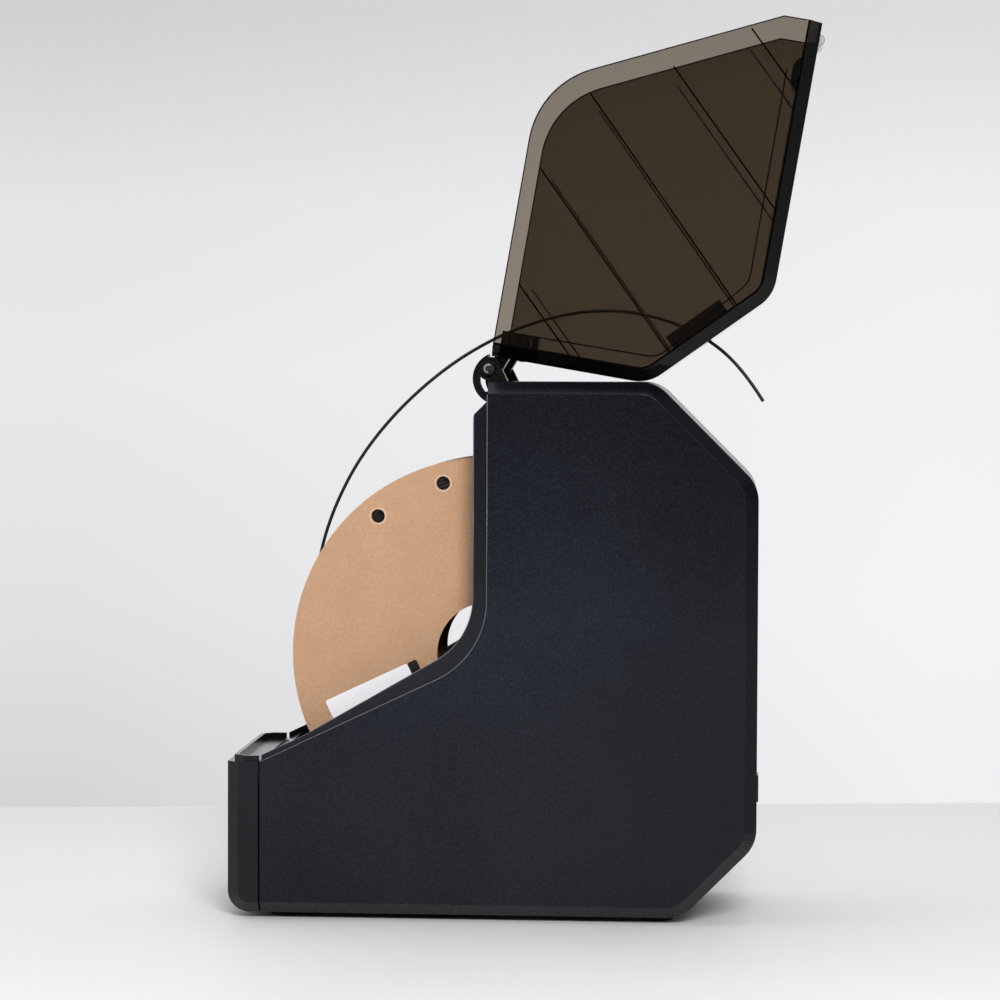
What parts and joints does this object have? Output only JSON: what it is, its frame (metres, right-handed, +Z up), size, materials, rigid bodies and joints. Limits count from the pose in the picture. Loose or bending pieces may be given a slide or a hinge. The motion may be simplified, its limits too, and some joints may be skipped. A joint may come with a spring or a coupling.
{
  "type": "filament dryer box",
  "caption": "Countertop filament dryer: black housing with a smoked hinged hood folded back, a cardboard spool on rollers, and a strand led out through the hood.",
  "frame": {"origin": "on the floor under the middle of the housing, front to back and side to side", "axes": "+Z up, -X to the front panel, Y across the width, with -Y the side that the picture shows"},
  "size_m": [0.2989, 0.112, 0.4534],
  "materials": {
    "black_plastic": "fine grained black moulding",
    "smoked_clear": "smoked clear moulding",
    "cardboard": "brown kraft board",
    "filament": "satin black filament",
    "steel": "drawn steel",
    "rubber": "soft black rubber",
    "circuit_board": "green circuit board",
    "aluminium": "extruded",
    "dark_window": "polished dark window",
    "roller_plastic": "moulded"
  },
  "bodies": {
    "base": {"outer_housing": "black_plastic", "inner_tub": "black_plastic", "front_panel": "black_plastic", "display_window": "dark_window", "display_board": "circuit_board", "base_cover": "black_plastic", "rubber_feet": "rubber", "hinge_bracket_left": "black_plastic", "hinge_bracket_right": "black_plastic", "hinge_rod": "steel", "front_roller_axle": "steel", "rear_roller_axle": "steel", "filament_strand": "filament", "fan_frame": "black_plastic", "air_grille": "black_plastic", "heater_block": "aluminium", "main_board": "circuit_board", "humidity_sensor": "circuit_board", "power_inlet": "black_plastic"},
    "lid": {"lid_hood": "smoked_clear", "lid_catch": "black_plastic", "outlet_block": "black_plastic", "lid_hinge_arm_left": "black_plastic", "lid_hinge_arm_right": "black_plastic"},
    "spool": {"spool_flange_near": "cardboard", "spool_flange_far": "cardboard", "spool_core": "cardboard", "filament_pack": "filament", "filament_winding": "filament"},
    "front_roller": {"front_roller": "roller_plastic"},
    "rear_roller": {"rear_roller": "roller_plastic"},
    "fan": {"fan_impeller": "black_plastic"}
  },
  "joints": [
    {"name": "lid_hinge", "type": "hinge", "parent": "base", "child": "lid", "pos_m": [-0.002, 0, 0.2785], "axis": [0, -1, 0], "range_deg": [0, 189.75], "deforming": ["filament_strand"]},
    {"name": "spool_spin", "type": "hinge", "parent": "base", "child": "spool", "pos_m": [-0.003, 0, 0.1336], "axis": [0, 1, 0], "continuous": true},
    {"name": "front_roller_spin", "type": "hinge", "parent": "base", "child": "front_roller", "pos_m": [-0.045, 0, 0.03378], "axis": [0, 1, 0], "continuous": true},
    {"name": "rear_roller_spin", "type": "hinge", "parent": "base", "child": "rear_roller", "pos_m": [0.039, 0, 0.03378], "axis": [0, 1, 0], "continuous": true},
    {"name": "fan_spin", "type": "hinge", "parent": "base", "child": "fan", "pos_m": [-0.003, 0, 0.0075], "axis": [0, 0, 1], "continuous": true}
  ],
  "couplings": [
    {"joint": "front_roller_spin", "follows": "spool_spin", "ratio": -12.5},
    {"joint": "rear_roller_spin", "follows": "spool_spin", "ratio": -12.5}
  ]
}
